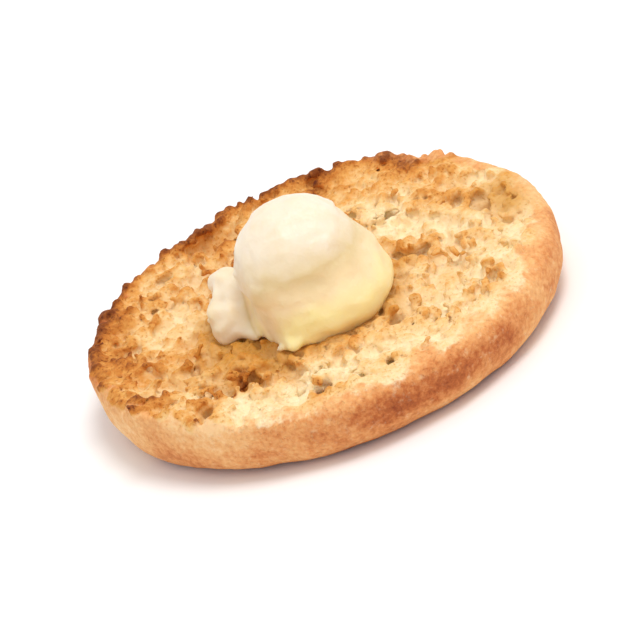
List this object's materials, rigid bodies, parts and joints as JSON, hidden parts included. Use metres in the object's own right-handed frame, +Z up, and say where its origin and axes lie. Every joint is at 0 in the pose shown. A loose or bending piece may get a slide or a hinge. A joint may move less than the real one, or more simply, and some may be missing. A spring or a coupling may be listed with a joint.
{
  "type": "toasted english muffin half with butter",
  "caption": "Toasted half of a round griddled muffin lying cut side up, with a craggy golden crumb, a smooth tan crust and a scoop of soft butter sunk into it.",
  "frame": {"origin": "middle of the flat griddled base, in the plane that the half rests on", "axes": "+Z up through the cut face, +X along the slightly longer diameter, +Y away from the side the butter sits nearer to"},
  "size_m": [0.0904, 0.0878, 0.0358],
  "materials": {
    "toasted_crumb": "matte toasted crumb and crust",
    "whipped_butter": "soft satin butter"
  },
  "bodies": {
    "root": {"muffin_half": "toasted_crumb", "butter_scoop": "whipped_butter"}
  },
  "joints": []
}
